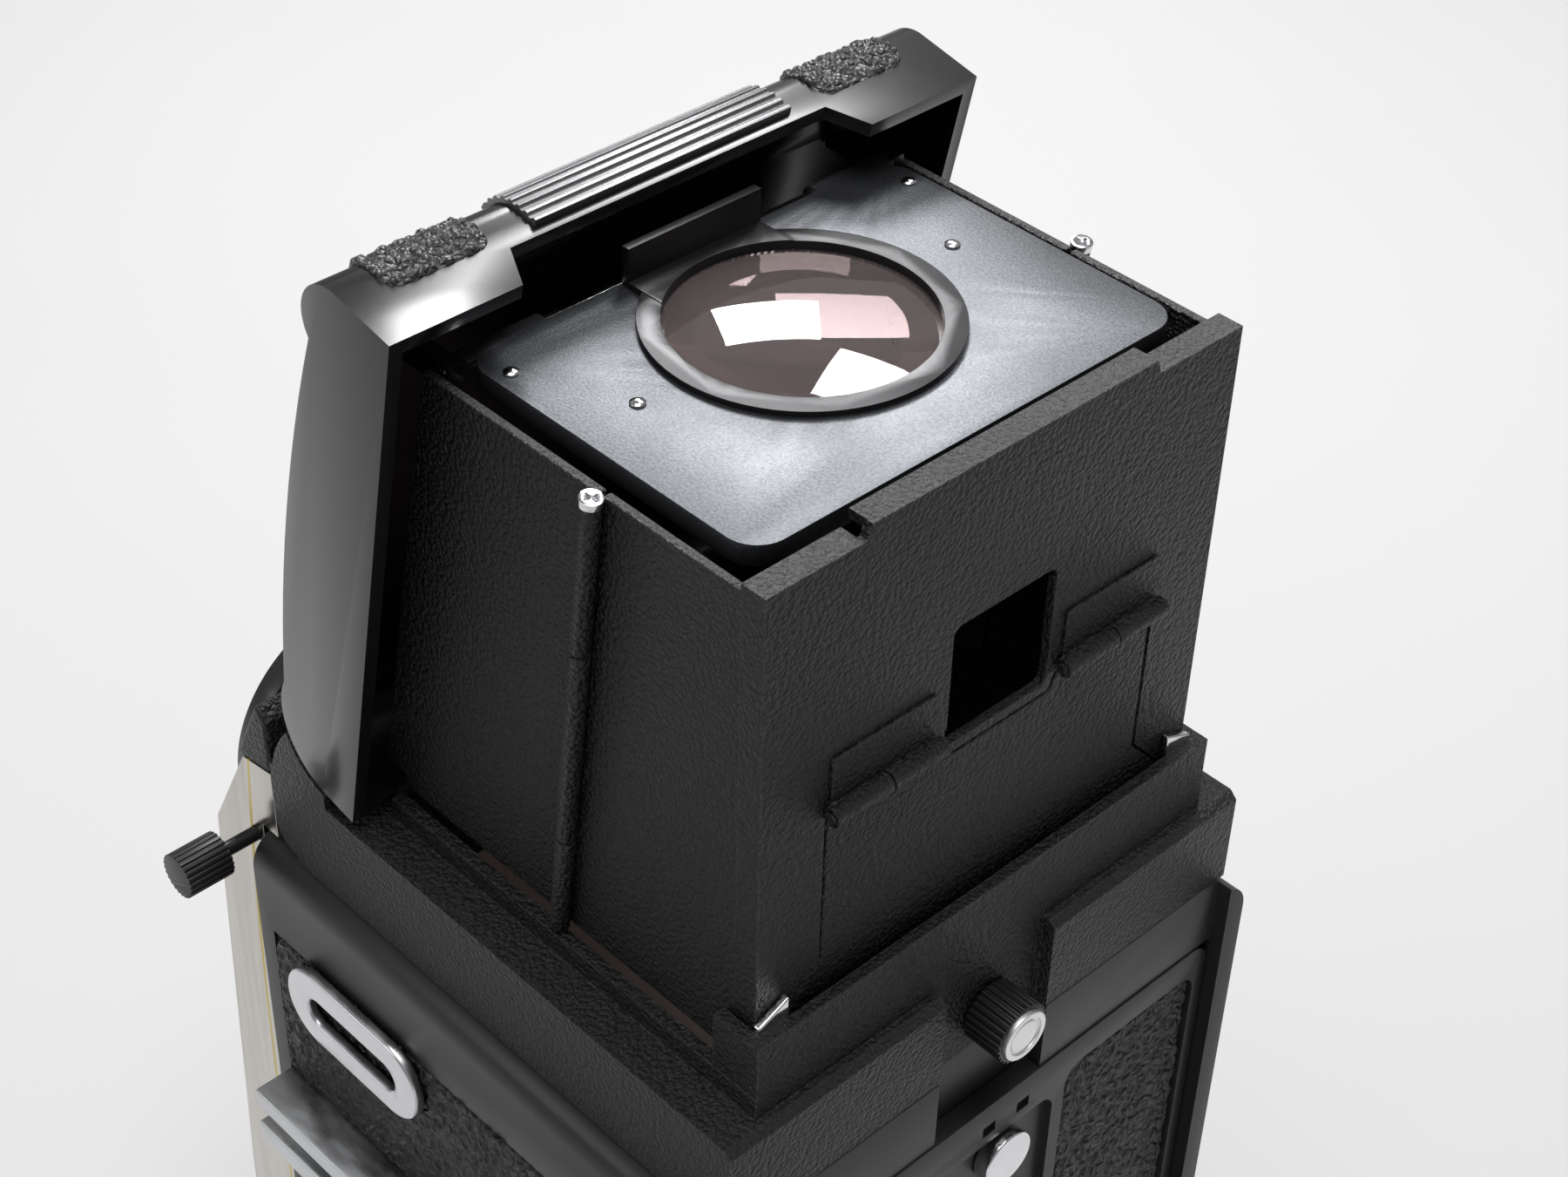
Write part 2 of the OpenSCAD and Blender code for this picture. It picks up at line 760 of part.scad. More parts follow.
module focus_shaft() {
    color("silver") {
        bar_x(-52, 52, pinion_y, pinion_z, 3);
        for (x = [-rack_x, rack_x])
            bar_x(x - 1.9, x + 1.9, pinion_y, pinion_z, pinion_r - 0.1);
    }
}

module focus_knobs() {
    color("#1a1a1c") for (s = [-1, 1])
        difference() {
            union() {
                ribbed_x(s > 0 ? 47 : -59, s > 0 ? 59 : -47, pinion_y, pinion_z, 13.5, 40);
            }
            bar_x(s > 0 ? 46 : -52, s > 0 ? 52 : -46, pinion_y, pinion_z, 3);
        }
}

module wind_crank() {
    color("#b8babc") {
        bar_x(-54, -33.4, spool_y, upper_spool_z, 4);
        bar_x(-34, -29, spool_y, upper_spool_z, 3);
        bar_x(-52, -46, spool_y, upper_spool_z, 8.5);
        bar_x(-67, -53, spool_y, upper_spool_z - 29, 1.6);
        along_x(-55.5, -52) {
            translate([spool_y, upper_spool_z]) circle(6);
            translate([spool_y - 3.2, upper_spool_z - 29]) square([6.4, 29]);
            translate([spool_y, upper_spool_z - 29]) circle(4.5);
        }
    }
}

module crank_grip() {
    color("#1a1a1c") difference() {
        bar_x(-68, -55.6, spool_y, upper_spool_z - 29, 4.2);
        bar_x(-67.1, -50, spool_y, upper_spool_z - 29, 1.6 + gap);
    }
}

// Supply spool below and take-up spool above, each a core with two flanges
module film_spool(z) {
    color("#303032") difference() {
        union() {
            bar_x(-33, 33, spool_y, z, 5);
            for (x = [-33, 31.8])
                bar_x(x, x + 1.2, spool_y, z, 11);
        }
        bar_x(-34, 34, spool_y, z, 3 + gap);
    }
}

module spool_knob(z) {
    color("silver") {
        bar_x(29, 47, spool_y, z, 3);
        ribbed_x(46, 52, spool_y, z, 8, 32);
    }
}

module shutter_button() {
    color("silver") {
        bar_x(-49, -41, button_y, button_z, 3.5);
        bar_x(-50.2, -49, button_y, button_z, 4.6);
    }
}

body_casting();
base_plate();
tripod_bush();
side_leathers();
strap_lugs();
accessory_shoe();
film_gate();
film_rollers();
viewing_mirror();
focusing_screen();
screen_frame();
hood_base();
base_corner_clips();
hood_lid();
lid_grip_pads();
lid_ribbed_grip();
lid_front_leather();
rear_panel();
rear_flap();
rear_hinges();
side_panels_rear();
side_panels_front();
side_hinge_rods();
side_hinge_screws();
magnifier_plate();
magnifier_frame();
magnifier_lens();
magnifier_rivets();
magnifier_hinge_pin();
hood_lock_knob();
lock_knob_cap();
back_door();
door_leather();
door_catch();
door_hinge_pin();
pressure_plate();
front_standard();
standard_side_plates();
standard_cap();
focus_racks();
bellows();
lens_board();
viewing_lens_barrel();
viewing_lens_glass();
shutter_housing();
taking_lens_barrel();
taking_lens_glass();
speed_ring();
aperture_lever();
cocking_lever();
scale_knob();
focus_shaft();
focus_knobs();
wind_crank();
crank_grip();
film_spool(upper_spool_z);  // take_up_spool
film_spool(lower_spool_z);  // supply_spool
spool_knob(upper_spool_z);  // spool_knob_upper
spool_knob(lower_spool_z);  // spool_knob_lower
shutter_button();
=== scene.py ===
"""Looks for the twin lens reflex camera.

Procedural finishes on the CAD nodes, soft pieces with real relief, the camera and the studio.
"""

import json
import math

import bpy
import numpy as np
from mathutils import Matrix, Vector, noise


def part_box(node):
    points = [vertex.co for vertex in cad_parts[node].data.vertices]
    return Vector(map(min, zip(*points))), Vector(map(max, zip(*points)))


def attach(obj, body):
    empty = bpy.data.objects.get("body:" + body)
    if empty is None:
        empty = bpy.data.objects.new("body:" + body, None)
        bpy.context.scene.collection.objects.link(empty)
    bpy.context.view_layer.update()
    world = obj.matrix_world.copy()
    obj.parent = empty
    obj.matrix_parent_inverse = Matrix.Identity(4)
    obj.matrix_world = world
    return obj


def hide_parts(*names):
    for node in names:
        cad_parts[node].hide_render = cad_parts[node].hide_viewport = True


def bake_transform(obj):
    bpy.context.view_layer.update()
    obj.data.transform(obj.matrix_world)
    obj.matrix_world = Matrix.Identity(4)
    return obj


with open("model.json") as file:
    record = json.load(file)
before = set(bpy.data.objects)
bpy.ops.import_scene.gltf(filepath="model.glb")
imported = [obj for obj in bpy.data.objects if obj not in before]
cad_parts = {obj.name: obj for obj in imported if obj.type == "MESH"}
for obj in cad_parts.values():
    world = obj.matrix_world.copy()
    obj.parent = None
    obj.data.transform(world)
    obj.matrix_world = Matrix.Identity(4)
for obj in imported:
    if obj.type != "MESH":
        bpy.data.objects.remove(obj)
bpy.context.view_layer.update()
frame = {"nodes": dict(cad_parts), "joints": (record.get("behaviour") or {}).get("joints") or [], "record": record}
nodes = frame["nodes"]
MM = 0.001

# pebbled hide on the body, in millimetres: size of a pebble, depth of its creases, distance between points
PEBBLE = 1.9
CREASE = 0.42
STEP = 0.42
PAD_PEBBLE = 1.45
PAD_CREASE = 0.55
PAD_STEP = 0.2
# rounding of the hide's edge, and how much steeper than the cell pattern its pebbles stand
HIDE_EDGE = 0.7
PEBBLE_GAIN = 2.2
# the lid leans back; its own frame starts at the corner of its open side
TILT = math.radians(11.4)
LID_Y, LID_Z, LID_H = -24.2, 154.8, 77.2
# the lid's top edge is flat, then turns down round a corner
TOP_FLAT, TOP_RADIUS = 9.2, 5.2
# the lid's front bows out: radius, greatest depth and its height on the lid
BOW_RADIUS, BOW_DEPTH, BOW_HEIGHT = 236.0, 15.4, 34.0
# pleats of the bellows and points round each ring
FOLDS, RING = 7, 4 * 24
# softboxes: name, place, point they face, size in metres, power in watts
SOFTBOXES = (
    ("soft_front", (-0.45, -0.55, 0.75), (0, 0, 0.2), 0.22, 4.5),
    ("soft_lid", (-0.52, -0.25, 1.0), (0, 0, 0.2), 0.26, 5.5),
    ("soft_top", (0.1, 0.1, 1.3), (0, 0, 0.1), 0.7, 9.0),
    ("soft_side", (0.95, -0.45, 0.5), (0, 0, 0.15), 0.5, 1.5),
)
SKY_STRENGTH = 0.24
FLOOR_HALF = 3
# the view: azimuth, elevation and roll in degrees, place in metres, lens and sensor in millimetres
VIEW_AZIMUTH, VIEW_ELEVATION, VIEW_ROLL = 135.469, 38.661, 1.717
VIEW_PLACE = (0.17504, 0.18275, 0.38498)
VIEW_LENS, VIEW_SENSOR = 63.858, 36.0


# ---------- finishes ----------

class Graph:
    """A material's node tree, with short calls for the nodes used here."""

    def __init__(self, name):
        self.mat = bpy.data.materials.new(name)
        self.mat.use_nodes = True
        self.tree = self.mat.node_tree
        self.shader = self.tree.nodes["Principled BSDF"]
        self.place = self.add("ShaderNodeTexCoord").outputs["Object"]

    def add(self, kind, **settings):
        node = self.tree.nodes.new(kind)
        for key, value in settings.items():
            setattr(node, key, value)
        return node

    def link(self, source, target):
        self.tree.links.new(source, target)

    def stretched(self, scale):
        node = self.add("ShaderNodeMapping")
        node.inputs["Scale"].default_value = scale
        self.link(self.place, node.inputs["Vector"])
        return node.outputs["Vector"]

    def noise(self, scale, detail=2.0, rough=0.55, distort=0.0, where=None):
        node = self.add("ShaderNodeTexNoise")
        node.inputs["Scale"].default_value = scale
        node.inputs["Detail"].default_value = detail
        node.inputs["Roughness"].default_value = rough
        node.inputs["Distortion"].default_value = distort
        self.link(where or self.place, node.inputs["Vector"])
        return node.outputs["Fac"]

    def cells(self, scale, feature="F1", where=None, smooth=0.3):
        node = self.add("ShaderNodeTexVoronoi", feature=feature)
        node.inputs["Scale"].default_value = scale
        if feature == "SMOOTH_F1":
            node.inputs["Smoothness"].default_value = smooth
        self.link(where or self.place, node.inputs["Vector"])
        return node.outputs["Distance"]

    def spread(self, value, low, high, out_low, out_high):
        node = self.add("ShaderNodeMapRange")
        for key, number in (("From Min", low), ("From Max", high), ("To Min", out_low), ("To Max", out_high)):
            node.inputs[key].default_value = number
        self.link(value, node.inputs["Value"])
        return node.outputs["Result"]

    def math(self, operation, a, b):
        node = self.add("ShaderNodeMath", operation=operation)
        for socket, value in zip(node.inputs, (a, b)):
            if hasattr(value, "default_value"):
                self.link(value, socket)
            else:
                socket.default_value = value
        return node.outputs["Value"]

    def mix(self, factor, a, b):
        node = self.add("ShaderNodeMix", data_type="RGBA")
        self.link(factor, node.inputs["Factor"])
        for socket, value in ((node.inputs[6], a), (node.inputs[7], b)):
            if hasattr(value, "default_value"):
                self.link(value, socket)
            else:
                socket.default_value = (*value, 1.0)
        return node.outputs[2]

    def bump(self, height, distance, normal=None, strength=1.0):
        node = self.add("ShaderNodeBump")
        node.inputs["Distance"].default_value = distance
        node.inputs["Strength"].default_value = strength
        self.link(height, node.inputs["Height"])
        if normal is not None:
            self.link(normal, node.inputs["Normal"])
        return node.outputs["Normal"]

    def edges(self, radius, gain):
        """A mask that is 1 on sharp outer edges, where the rounded normal leaves the true one."""
        soft = self.add("ShaderNodeBevel", samples=4)
        soft.inputs["Radius"].default_value = radius
        flat = self.add("ShaderNodeNewGeometry").outputs["Normal"]
        dot = self.add("ShaderNodeVectorMath", operation="DOT_PRODUCT")
        self.link(soft.outputs["Normal"], dot.inputs[0])
        self.link(flat, dot.inputs[1])
        return self.spread(dot.outputs["Value"], 1.0, 1.0 - 1.0 / gain, 0.0, 1.0)

    def finish(self, color, roughness, normal=None, metallic=0.0, **extra):
        s = self.shader
        for key, value in (("Base Color", color), ("Roughness", roughness), ("Metallic", metallic)):
            if isinstance(value, bpy.types.NodeSocket):
                self.link(value, s.inputs[key])
            elif isinstance(value, tuple):
                s.inputs[key].default_value = (*value, 1.0)
            else:
                s.inputs[key].default_value = value
        if normal is not None:
            self.link(normal, s.inputs["Normal"])
        for key, value in extra.items():
            s.inputs[key.replace("_", " ")].default_value = value
        return self.mat


def crinkle_paint(name, dark, light, cell=1700.0, depth=0.0005, rough=0.34):
    """Wrinkle paint: rounded cells with a fine irregular grain, paler at worn edges, with painted highlights on
    up-facing top rims and on the peaks of the cells.
    """
    g = Graph(name)
    warp = g.add("ShaderNodeVectorMath", operation="ADD")
    swirl = g.add("ShaderNodeTexNoise")
    swirl.inputs["Scale"].default_value = 1500.0
    g.link(g.place, swirl.inputs["Vector"])
    scaled = g.add("ShaderNodeVectorMath", operation="SCALE")
    scaled.inputs["Scale"].default_value = 0.00035
    g.link(swirl.outputs["Color"], scaled.inputs[0])
    g.link(g.place, warp.inputs[0])
    g.link(scaled.outputs["Vector"], warp.inputs[1])
    bead = g.cells(cell, "SMOOTH_F1", warp.outputs["Vector"], 0.45)
    grain = g.noise(5200.0, 2.0)
    height = g.math("ADD", g.math("MULTIPLY", bead, -1.0), g.math("MULTIPLY", grain, 0.6))
    patch = g.noise(45.0, 3.0)
    tone = g.mix(g.spread(patch, 0.35, 0.7, 0.0, 0.35), dark, light)
    worn = g.math("MULTIPLY", g.edges(0.0005, 3.0), g.spread(grain, 0.4, 0.62, 0.1, 0.9))
    # painted highlight: up-facing faces near the hood's top edges are made paler, standing in for the light they
    # catch from above
    facing, height_of = g.add("ShaderNodeSeparateXYZ"), g.add("ShaderNodeSeparateXYZ")
    g.link(g.add("ShaderNodeNewGeometry").outputs["Normal"], facing.inputs[0])
    g.link(g.place, height_of.inputs[0])
    top = g.math("MULTIPLY", g.spread(facing.outputs["Z"], 0.5, 0.9, 0.0, 1.0),
                 g.spread(height_of.outputs["Z"], 0.195, 0.215, 0.1, 1.0))
    wear_and_painted_highlight = g.math("MAXIMUM", worn, g.math("MULTIPLY", top, g.spread(grain, 0.35, 0.65, 0.45, 1.0)))
    # painted highlight: the peaks of the cells are made paler, standing in for glints of light on them
    painted_peak_highlight = g.math("MULTIPLY", g.spread(bead, 0.4, 0.1, 0.0, 0.4), g.spread(grain, 0.42, 0.62, 0.0, 1.0))
    wear_and_painted_highlight = g.math("MAXIMUM", wear_and_painted_highlight, painted_peak_highlight)
    # paler colour from real edge wear and from the painted highlights
    color = g.mix(wear_and_painted_highlight, tone, tuple(min(1.0, c * 5.0 + 0.05) for c in light))
    shine = g.spread(grain, 0.3, 0.7, rough - 0.08, rough + 0.1)
    return g.finish(color, shine, g.bump(height, depth), Specular_IOR_Level=0.42)


def smooth_enamel(name, color, rough, coat=0.4, grain=0.000004, metallic=0.0, gloss=0.5):
    """Smooth black paint with a light orange peel and faint wiping marks."""
    g = Graph(name)
    peel = g.noise(420.0, 3.0)
    wipe = g.noise(30.0, 4.0, where=g.stretched((1.0, 1.0, 0.25)))
    shine = g.spread(wipe, 0.3, 0.75, rough - 0.04, rough + 0.08)
    worn = g.math("MULTIPLY", g.edges(0.0004, 3.0), g.spread(g.noise(900.0), 0.4, 0.7, 0.0, 0.55))
    tone = g.mix(worn, color, tuple(min(1.0, c * 4.0 + 0.05) for c in color))
    return g.finish(tone, shine, g.bump(peel, grain), metallic=metallic, Coat_Weight=coat,
                    Coat_Roughness=rough * 0.6, Specular_IOR_Level=gloss)


def fine_satin(name, color, rough, metallic=0.5, grain=4200.0, depth=0.000012):
    """Blasted or anodised metal with a fine sparkle."""
    g = Graph(name)
    grit = g.noise(grain, 3.0, 0.7)
    cloud = g.noise(60.0, 3.0)
    deep, pale = tuple(c * 0.8 for c in color), tuple(min(1.0, c * 1.25) for c in color)
    tone = g.mix(g.spread(grit, 0.35, 0.65, 0.0, 1.0), deep, pale)
    shine = g.spread(cloud, 0.3, 0.7, rough - 0.05, rough + 0.06)
    return g.finish(tone, shine, g.bump(grit, depth), metallic=metallic)


def leather(name, color, cell=620.0, depth=0.0003, rough=0.36):
    """Pebbled leather: creased cells over a fine grain."""
    g = Graph(name)
    crease = g.cells(cell, "DISTANCE_TO_EDGE")
    fine = g.noise(3800.0, 3.0, 0.6)
    lump = g.spread(crease, 0.0, 0.25, 0.0, 1.0)
    height = g.math("ADD", lump, g.math("MULTIPLY", fine, 0.22))
    deep, pale = tuple(c * 0.7 for c in color), tuple(c * 1.4 for c in color)
    tone = g.mix(g.spread(fine, 0.35, 0.7, 0.0, 1.0), deep, pale)
    shine = g.spread(fine, 0.3, 0.7, rough - 0.06, rough + 0.12)
    return g.finish(tone, shine, g.bump(height, depth), Specular_IOR_Level=0.42)


def bare_metal(name, color, rough, along=None, depth=0.000003):
    """Chrome or turned metal; along gives the direction of its brush marks."""
    g = Graph(name)
    marks = g.noise(500.0, 4.0, where=g.stretched(along)) if along else g.noise(260.0, 4.0)
    haze = g.noise(90.0, 3.0)
    brush = g.spread(marks, 0.3, 0.7, rough * 0.7, rough * 1.35)
    shine = g.math("ADD", brush, g.spread(haze, 0.4, 0.7, 0.0, 0.04))
    tone = g.mix(g.spread(marks, 0.3, 0.7, 0.0, 1.0), tuple(c * 0.93 for c in color), color)
    return g.finish(tone, shine, g.bump(marks, depth), metallic=1.0)


def lined_metal(name, color, rough):
    """Brushed metal with a thin yellow line that bows along its rear edge."""
    g = Graph(name)
    marks = g.noise(500.0, 4.0, where=g.stretched((1.0, 1.0, 0.04)))
    axes = g.add("ShaderNodeSeparateXYZ")
    g.link(g.place, axes.inputs[0])
    height = g.math("SUBTRACT", axes.outputs["Z"], 0.085)
    bow = g.math("MULTIPLY", g.math("MULTIPLY", height, height), 0.8)
    away = g.math("ABSOLUTE", g.math("ADD", axes.outputs["Y"], g.math("SUBTRACT", 0.0505, bow)), 0.0)
    line = g.spread(away, 0.0002, 0.0003, 1.0, 0.0)
    tone = g.mix(line, color, (0.62, 0.46, 0.06))
    shine = g.spread(marks, 0.3, 0.7, rough * 0.7, rough * 1.35)
    return g.finish(tone, shine, g.bump(marks, 0.000003), metallic=g.spread(line, 0.0, 1.0, 1.0, 0.3))


def optical_glass(name, color, dust=True, haze=0.0):
    """Glass with a pink coating; dust gives it dull specks, haze a share of cloudiness."""
    g = Graph(name)
    specks = g.spread(g.cells(420.0), 0.0, 0.035, 1.0, 0.0)
    shine = g.math("ADD", g.math("MULTIPLY", specks, 0.5 if dust else 0.0), 0.012)
    tone = g.mix(g.spread(g.noise(30.0), 0.3, 0.7, 0.0, 1.0), color, tuple(c * 0.97 for c in color))
    return g.finish(tone, shine, Transmission_Weight=1.0 - haze, IOR=1.5, Coat_Weight=0.3,
                    Coat_Tint=(1.0, 0.85, 0.9, 1.0))


crinkle = crinkle_paint("crinkle_black_painted_highlight", (0.006, 0.006, 0.0065), (0.012, 0.012, 0.0128))
casting = smooth_enamel("satin_casting", (0.015, 0.015, 0.0162), 0.4, 0.05, 0.00001, gloss=0.4)
enamel = smooth_enamel("lid_enamel", (0.006, 0.006, 0.0068), 0.26, 0.4)
plate = fine_satin("plate_satin", (0.08, 0.083, 0.09), 0.4, 0.85, 3000.0, 0.00003)
plate_ring = fine_satin("ring_satin", (0.016, 0.016, 0.018), 0.33, 0.5)
lens_black = smooth_enamel("lens_black", (0.012, 0.012, 0.013), 0.3, 0.3)
hide = leather("pebbled_hide", (0.007, 0.007, 0.0076), rough=0.4)
# painted light: the grip pads' hide is made far paler than the other hide, standing in for the top light they
# catch
pad_hide_painted_light = leather("pad_hide_painted_light", (0.06, 0.06, 0.063), 1100.0, 0.0002, 0.28)
knob_black = fine_satin("knob_black", (0.02, 0.02, 0.021), 0.36, 0.4)
# painted light: the ribbed grip is made grey, standing in for the top light it catches
rib_grey_painted_light = fine_satin("rib_grey_painted_light", (0.17, 0.17, 0.175), 0.36, 0.8)
dull_black = fine_satin("dull_black", (0.012, 0.012, 0.012), 0.7, 0.0)
chrome = bare_metal("chrome", (0.83, 0.83, 0.85), 0.1)
silver = bare_metal("satin_silver", (0.72, 0.72, 0.74), 0.28)
knob_white = bare_metal("cap_silver", (0.93, 0.93, 0.94), 0.42)
shoe_metal = bare_metal("shoe_metal", (0.6, 0.61, 0.62), 0.32, (1.0, 0.3, 1.0), 0.000008)
brushed = lined_metal("brushed_upright", (0.56, 0.53, 0.485), 0.24)
steel = bare_metal("turned_steel", (0.5, 0.5, 0.52), 0.3)
clear = optical_glass("clear_glass", (0.9, 0.81, 0.78), haze=0.05)
coated = optical_glass("coated_glass", (0.6, 0.6, 0.9), False)
ground = fine_satin("ground_screen_painted_glow", (0.07, 0.06, 0.054), 0.45, 0.0)
# painted light: the screen is given a faint brownish emission, standing in for the lens's picture lit through the
# viewing lens
painted_glow = ground.node_tree.nodes["Principled BSDF"].inputs
painted_glow["Emission Color"].default_value = (0.5, 0.36, 0.32, 1.0)
painted_glow["Emission Strength"].default_value = 0.03
mirror = bare_metal("silvered", (0.88, 0.9, 0.92), 0.03)
cloth = fine_satin("bellows_cloth", (0.012, 0.012, 0.013), 0.75, 0.0, 3000.0, 0.00003)

FINISH = {
    "casting_paint": casting, "crinkle_paint": crinkle, "lid_enamel": enamel, "plate_anodised": plate,
    "lens_black": lens_black, "leatherette": hide, "black_knob": knob_black, "inner_black": dull_black,
    "spool_plastic": dull_black, "bellows_cloth": cloth, "bright_chrome": chrome, "satin_silver": silver,
    "brushed_plate": brushed, "plain_steel": steel, "clear_glass": clear, "coated_glass": coated,
    "screen_glass": ground, "mirror_glass": mirror,
}
SPECIAL = {"magnifier_frame": plate_ring, "lid_ribbed_grip": rib_grey_painted_light, "lock_knob_cap": knob_white,
           "accessory_shoe": shoe_metal, "strap_lugs": silver}
# rounding of each piece's sharp edges, in millimetres; the rest take 0.25
ROUND = {
    "body_casting": 0.8, "hood_base": 0.5, "hood_lid": 0.7, "rear_panel": 0.35, "rear_flap": 0.35,
    "magnifier_plate": 0.5, "magnifier_frame": 0.3, "side_panels_rear": 0.3, "side_panels_front": 0.3,
    "standard_cap": 0.6, "accessory_shoe": 0.4, "strap_lugs": 0.4, "lid_ribbed_grip": 0.12,
    "side_hinge_screws": 0.06, "magnifier_rivets": 0.05, "focus_racks": 0.1, "back_door": 0.5,
    "speed_ring": 0.12, "focus_knobs": 0.25, "lens_board": 0.6,
}
GLASS = {"magnifier_lens", "viewing_lens_glass", "taking_lens_glass"}
slot_of = {s["node"]: s["material_slot"] for s in frame["record"]["subparts"]}


def soften(obj, width):
    """Rounds a CAD node's edges without moving its faces."""
    weld = obj.modifiers.new("weld", "WELD")
    weld.merge_threshold = 1e-6
    flat = obj.modifiers.new("flat", "DECIMATE")
    flat.decimate_type = "DISSOLVE"
    flat.angle_limit = math.radians(0.6)
    bevel = obj.modifiers.new("bevel", "BEVEL")
    bevel.width = width
    bevel.segments = 3
    bevel.limit_method = "ANGLE"
    bevel.angle_limit = math.radians(32)
    bevel.harden_normals = True
    bevel.use_clamp_overlap = True


for name, obj in nodes.items():
    obj.data.materials.clear()
    obj.data.materials.append(SPECIAL.get(name, FINISH[slot_of[name]]))
    for polygon in obj.data.polygons:
        polygon.use_smooth = True
    if name not in GLASS:
        soften(obj, ROUND.get(name, 0.25) * MM)


# ---------- soft pieces with real relief ----------

def mesh_piece(name, points, faces, mat, body, slot, *replaced):
    """A smooth mesh that rides on a body and stands in for the named CAD nodes."""
    mesh = bpy.data.meshes.new(name)
    mesh.from_pydata([tuple(p) for p in points], [], faces)
    mesh.update()
    for polygon in mesh.polygons:
        polygon.use_smooth = True
    mesh.materials.append(mat)
    obj = bpy.data.objects.new(name, mesh)
    bpy.context.scene.collection.objects.link(obj)
    if body:
        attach(obj, body)
    if replaced:
        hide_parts(*replaced)
    return obj


def pebble(u, v, cell):
    """Height of a pebbled skin, 0 in the creases to 1 on the pebbles, at (u, v) in millimetres."""
    near = noise.voronoi(Vector((u / cell, v / cell, 0.37)))[0]
    return min(1.0, (near[1] - near[0]) * PEBBLE_GAIN)


def round_box(u0, v0, u1, v1, r):
    """Signed distance to a rectangle with round corners."""
    cu, cv, hu, hv = (u0 + u1) / 2, (v0 + v1) / 2, (u1 - u0) / 2 - r, (v1 - v0) / 2 - r

    def distance(u, v):
        du, dv = np.abs(u - cu) - hu, np.abs(v - cv) - hv
        return np.hypot(np.maximum(du, 0), np.maximum(dv, 0)) + np.minimum(np.maximum(du, dv), 0) - r
    return distance


def without(shape, *holes):
    """Signed distance to a shape with holes cut in it."""
    def distance(u, v):
        d = shape(u, v)
        for h in holes:
            d = np.maximum(d, -h(u, v))
        return d
    return distance


def disc(cu, cv, r):
    """Signed distance to a disc."""
    return lambda u, v: np.hypot(u - cu, v - cv) - r


def hide_panel(name, shape, area, place, thick, cell, relief, step, body, *replaced):
    """A pebbled skin over a flat or bent bed. place(u, v, h) gives the point h above the bed."""
    u0, v0, u1, v1 = area
    us = np.arange(u0 - 2 * step, u1 + 2.01 * step, step)
    vs = np.arange(v0 - 2 * step, v1 + 2.01 * step, step)
    u, v = np.meshgrid(us, vs, indexing="ij")
    d = shape(u, v)
    e = step * 0.25
    gu, gv = (shape(u + e, v) - shape(u - e, v)) / (2 * e), (shape(u, v + e) - shape(u, v - e)) / (2 * e)
    snap = np.abs(d) < step * 0.72
    u, v = np.where(snap, u - gu * d, u), np.where(snap, v - gv * d, v)
    d = np.where(snap, 0.0, d)
    keep = d < step * 0.5
    index = -np.ones(d.shape, int)
    points = []
    for i, j in zip(*np.nonzero(keep)):
        inside = min(1.0, max(0.0, -d[i, j] / HIDE_EDGE))
        rise = math.sqrt(1.0 - (1.0 - inside) ** 2)
        height = thick * rise + relief * (pebble(u[i, j], v[i, j], cell) - 1.0) * rise
        index[i, j] = len(points)
        points.append(place(u[i, j], v[i, j], max(0.0, height)))
    faces = []
    for i in range(d.shape[0] - 1):
        for j in range(d.shape[1] - 1):
            quad = [index[i, j], index[i + 1, j], index[i + 1, j + 1], index[i, j + 1]]
            if min(quad) >= 0:
                faces.append(quad)
    return mesh_piece(name, points, faces, hide, body, "leatherette", *replaced)


joints = {j["name"]: j for j in frame["joints"]}


def yz_of(joint):
    """Where a joint stands on the side wall, in millimetres."""
    p = joints[joint]["pos_m"]
    return p[1] / MM, p[2] / MM


low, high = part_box("side_leathers")
low, high = low / MM, high / MM
outline = round_box(low.y, low.z, high.y, high.z, 3.0)
fy, fz = yz_of("focus_turn")
cy, cz = yz_of("crank_turn")
sy, sz = yz_of("supply_turn")
shoe_low, shoe_high = (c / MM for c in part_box("accessory_shoe"))
button_low, button_high = (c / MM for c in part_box("shutter_button"))
by, bz = (button_low.y + button_high.y) / 2, (button_low.z + button_high.z) / 2
left = without(outline, disc(fy, fz, 7), disc(cy, cz, 9), disc(sy, sz, 9),
               round_box(shoe_low.y - 0.6, shoe_low.z - 0.4, shoe_high.y + 0.6, shoe_high.z + 0.4, 0.3))
right = without(outline, disc(fy, fz, 7), disc(cy, cz, 9), disc(by, bz, 5.5))
bed = high.x - 1.0
hide_panel("side_hide_left", left, (low.y, low.z, high.y, high.z),
           lambda u, v, h: ((bed + h) * MM, u * MM, v * MM), 1.0, PEBBLE, CREASE, STEP,
           "camera", "side_leathers")
hide_panel("side_hide_right", right, (low.y, low.z, high.y, high.z),
           lambda u, v, h: (-(bed + h) * MM, u * MM, v * MM), 1.0, PEBBLE, CREASE, STEP, "camera")

low, high = (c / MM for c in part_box("door_leather"))
for label, x0, x1 in (("left", 14.6, 39.0), ("right", -39.0, -14.6)):
    shape = round_box(x0, low.z, x1, high.z, 2.9)
    hide_panel("door_hide_" + label, shape, (x0, low.z, x1, high.z),
               lambda u, v, h: (u * MM, (low.y + h) * MM, v * MM),
               high.y - low.y, PEBBLE, CREASE, STEP, "door", "door_leather")


def lid_point(x, a, b):
    """A place in the lid's own frame: a is depth towards the rear, b is height."""
    return (x * MM, (LID_Y + a * math.cos(TILT) + b * math.sin(TILT)) * MM,
            (LID_Z - a * math.sin(TILT) + b * math.cos(TILT)) * MM)


